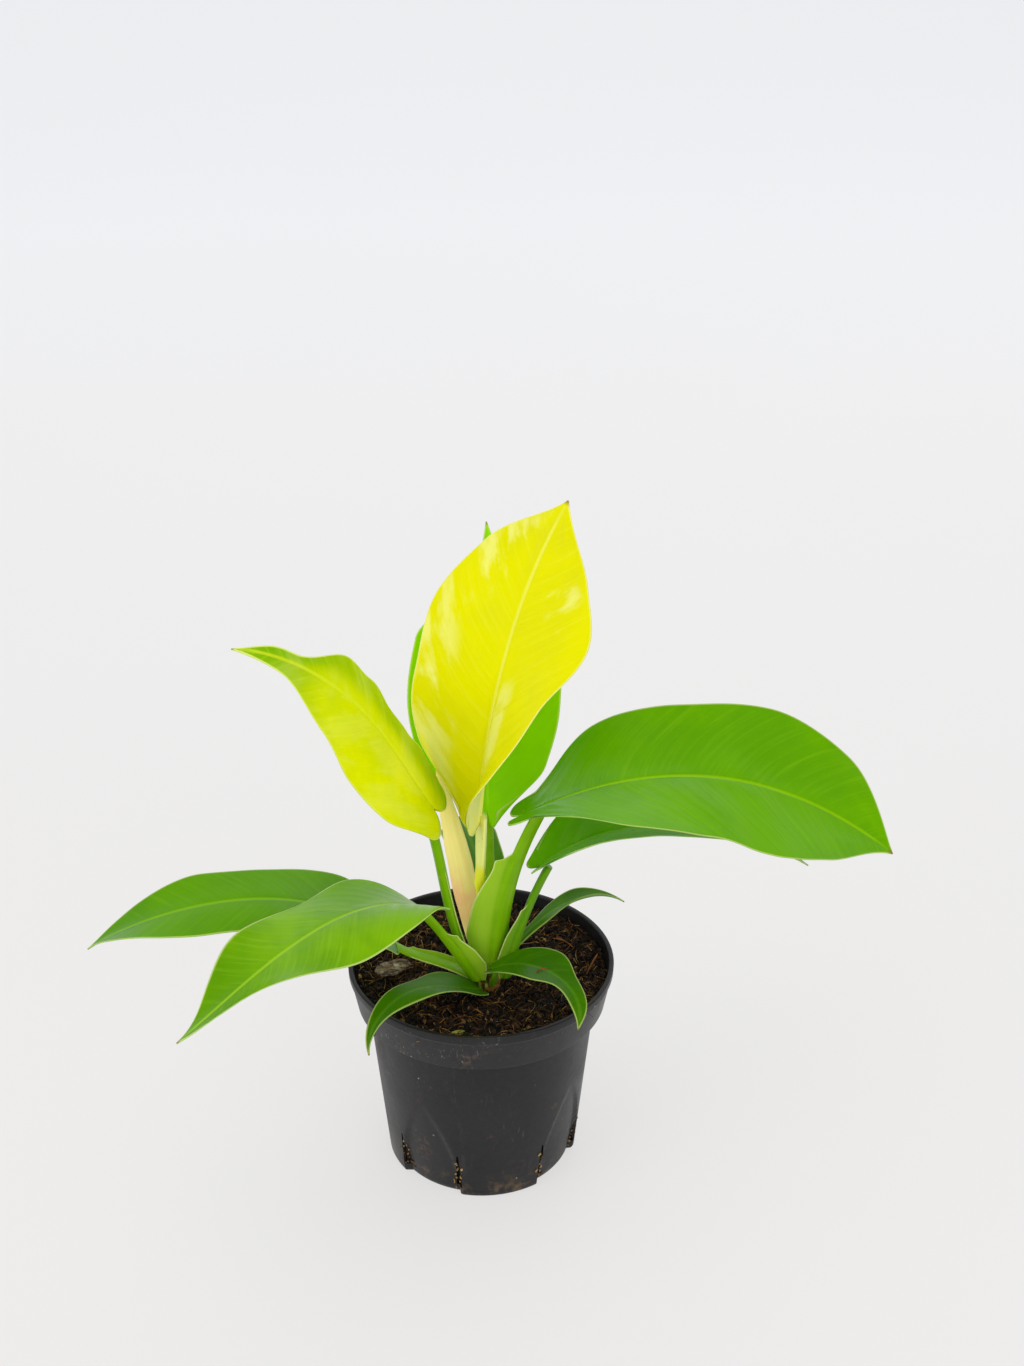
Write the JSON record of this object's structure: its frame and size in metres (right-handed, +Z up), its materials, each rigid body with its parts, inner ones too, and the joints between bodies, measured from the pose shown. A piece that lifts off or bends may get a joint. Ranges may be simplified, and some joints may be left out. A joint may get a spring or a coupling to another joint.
{
  "type": "potted philodendron",
  "caption": "Young philodendron with broad pointed leaves on sheathed stalks, in a round tapered nursery pot with a collar and drainage slits, standing on its flat base",
  "frame": {"origin": "centre of the pot's flat base, on the surface it stands on", "axes": "+Z up, -Y the front, +X to the right seen from the front, along the plant's widest spread"},
  "size_m": [0.3571, 0.1675, 0.3125],
  "materials": {
    "pot_plastic": "satin moulded black, scuffed and dusty",
    "soil": "peat and bark mix, matte",
    "stem": "rough brown",
    "cataphyll": "dry papery tan with a pink blush",
    "bark": "rough, matte",
    "leaf_yellow": "glossy young leaf",
    "leaf_lime": "glossy young leaf",
    "leaf_green": "glossy leaf",
    "leaf_dark": "glossy dark leaf",
    "stalk_yellow": "smooth",
    "stalk_green": "smooth"
  },
  "bodies": {
    "root": {"pot": "pot_plastic", "soil": "soil", "stem": "stem", "cataphyll": "cataphyll", "bark_chip": "bark", "leaf_01_blade": "leaf_yellow", "leaf_01_stalk": "stalk_yellow", "leaf_02_blade": "leaf_lime", "leaf_02_stalk": "stalk_green", "leaf_03_blade": "leaf_green", "leaf_03_stalk": "stalk_green", "leaf_04_blade": "leaf_green", "leaf_04_stalk": "stalk_green", "leaf_05_blade": "leaf_green", "leaf_05_stalk": "stalk_green", "leaf_06_blade": "leaf_dark", "leaf_06_stalk": "stalk_green", "leaf_07_blade": "leaf_green", "leaf_07_stalk": "stalk_green", "leaf_08_blade": "leaf_dark", "leaf_08_stalk": "stalk_green", "leaf_09_blade": "leaf_dark", "leaf_09_stalk": "stalk_green", "leaf_10_blade": "leaf_dark", "leaf_10_stalk": "stalk_green", "leaf_11_blade": "leaf_dark", "leaf_11_stalk": "stalk_green"}
  },
  "joints": []
}
